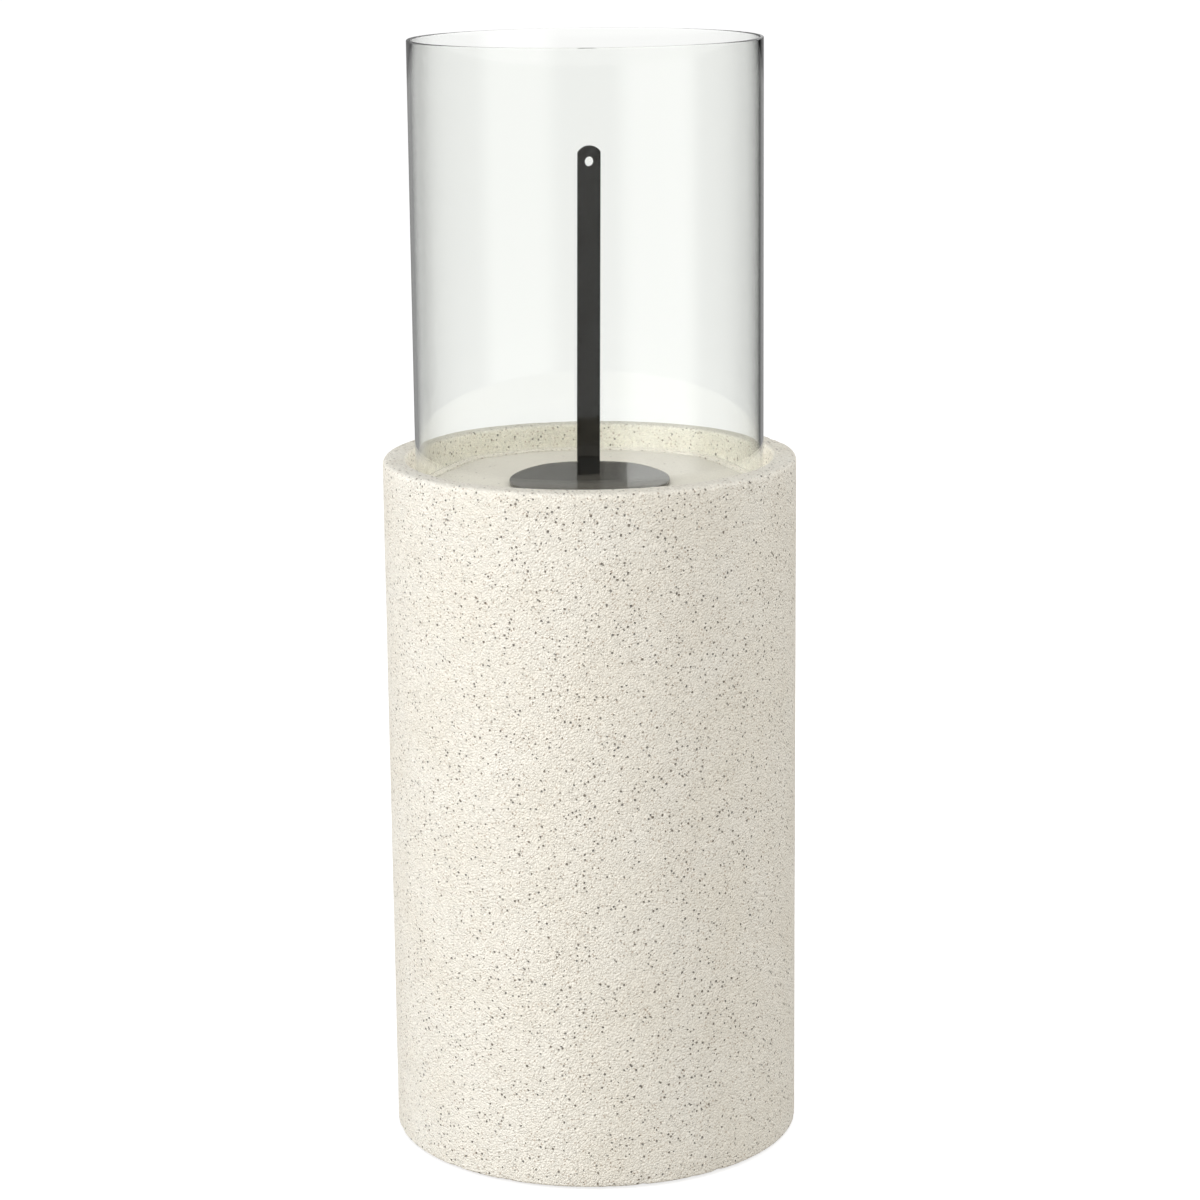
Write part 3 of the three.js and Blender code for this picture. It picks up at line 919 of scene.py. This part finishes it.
def sky():
    """An even soft sky, dark only low behind the lantern.

    Only mirror images see below the horizon: pale to the front right, greyish to the back and dark
    elsewhere, which draws the edges of the glass. Far below they are pale all round.
    """
    world = bpy.data.worlds.new("studio")
    world.use_nodes = True
    bpy.context.scene.world = world
    tree = world.node_tree
    tree.nodes.clear()
    direction = add(tree, "ShaderNodeTexCoord").outputs["Generated"]
    part = add(tree, "ShaderNodeSeparateXYZ", links={"Vector": direction}).outputs
    ahead = add(tree, "ShaderNodeMapRange",
                {"From Min": FRONT_BY_X[0], "From Max": FRONT_BY_X[1],
                 "To Min": DARK, "To Max": FRONT_GLOW},
                {"Value": part["X"]}, interpolation_type="SMOOTHSTEP")
    behind = add(tree, "ShaderNodeMapRange",
                 {"From Min": BACK_BY_X[0], "From Max": BACK_BY_X[1],
                  "To Min": BACK_GLOW, "To Max": DARK},
                 {"Value": part["X"]}, interpolation_type="SMOOTHSTEP")
    front = add(tree, "ShaderNodeMapRange",
                {"From Min": FRONT_BY_Y[0], "From Max": FRONT_BY_Y[1], "To Max": DARK},
                {"Value": part["Y"], "To Min": ahead.outputs["Result"]},
                interpolation_type="SMOOTHSTEP")
    below = add(tree, "ShaderNodeMapRange", {"From Min": BACK_BY_Y[0], "From Max": BACK_BY_Y[1]},
                {"Value": part["Y"], "To Min": front.outputs["Result"],
                 "To Max": behind.outputs["Result"]}, interpolation_type="SMOOTHSTEP")
    steep = add(tree, "ShaderNodeMapRange",
                {"From Min": STEEP_BY_Z[0], "From Max": STEEP_BY_Z[1], "To Max": STEEP_GLOW},
                {"Value": part["Z"], "To Min": below.outputs["Result"]},
                interpolation_type="SMOOTHSTEP")
    above = add(tree, "ShaderNodeMapRange",
                {"From Min": SKY_BY_Y[0], "From Max": SKY_BY_Y[1], "To Min": SKY, "To Max": SKY_BEHIND},
                {"Value": part["Y"]}, interpolation_type="SMOOTHSTEP")
    is_sky = add(tree, "ShaderNodeMath", {1: 0.0}, {0: part["Z"]}, operation="GREATER_THAN")
    level = add(tree, "ShaderNodeMix", links={
        0: is_sky.outputs["Value"], 2: steep.outputs["Result"], 3: above.outputs["Result"]})
    glow = add(tree, "ShaderNodeBackground", {"Color": (1, 1, 1, 1)}, {"Strength": level.outputs[0]})
    add(tree, "ShaderNodeOutputWorld", links={"Surface": glow.outputs["Background"]})


def soft_light(name, place, aim, size, power, tint=(1, 1, 1)):
    """A rectangular soft light that no glass or enamel mirrors."""
    light = bpy.data.lights.new(name, "AREA")
    light.shape = "RECTANGLE"
    light.size, light.size_y = size
    light.energy = power
    light.color = tint
    lamp = bpy.data.objects.new(name, light)
    lamp.visible_camera = False
    lamp.visible_glossy = False
    lamp.visible_transmission = False
    way = Vector(aim) - Vector(place)
    lamp.matrix_world = Matrix.Translation(place) @ way.to_track_quat("-Z", "Y").to_matrix().to_4x4()
    bpy.context.scene.collection.objects.link(lamp)
    return lamp


def lights():
    """A key from the left, a fill in front and an edge light at the back right.

    Two panels behind, with a dark gap between them, show in mirror images and light nothing matt.
    """
    soft_light("key", KEY_PLACE, LAMP_AIM, (KEY_SIZE, KEY_SIZE), KEY_POWER, KEY_TINT)
    soft_light("fill", FILL_PLACE, LAMP_AIM, (FILL_SIZE, FILL_SIZE), FILL_POWER)
    soft_light("edge", EDGE_PLACE, LAMP_AIM, (EDGE_SIZE, EDGE_SIZE), EDGE_POWER)
    for x, power in (LEFT_PANEL, RIGHT_PANEL):
        panel = soft_light("panel", (x, PANEL_BACK, PANEL_HEIGHT), (x, 0.0, PANEL_AIM_HEIGHT),
                           PANEL_SIZE, power)
        panel.visible_diffuse = False
        panel.visible_glossy = True
        panel.visible_transmission = True


def studio():
    """The floor, the sky, the lamps, and colours shown as they are."""
    floor()
    sky()
    lights()
    bpy.context.scene.view_settings.view_transform = "Standard"


# ------------------------------------------------------------------------------- build

def lantern():
    """All pieces in their finishes."""
    pedestal(casting("cast_stone", pale="efece3", warm="e7e1d3", grain_share=0.65, grain_tint=0.55,
                     relief=0.9, roughness=0.9))
    plate(casting("smooth_casting", pale="d5d1c7", warm="cdc8bd", grain_share=0.07, grain_tint=0.25,
                  relief=0.03, roughness=0.75))
    glass_sleeve(borosilicate_glass())
    steel = spun_steel()
    fuel_cup(steel)
    burner_screen(steel)
    wool_pad(ceramic_fibre())
    enamel = black_enamel()
    snuffer_disk(enamel)
    snuffer_bar(enamel)
    foot_pads(die_cut_rubber())


lantern()
studio()
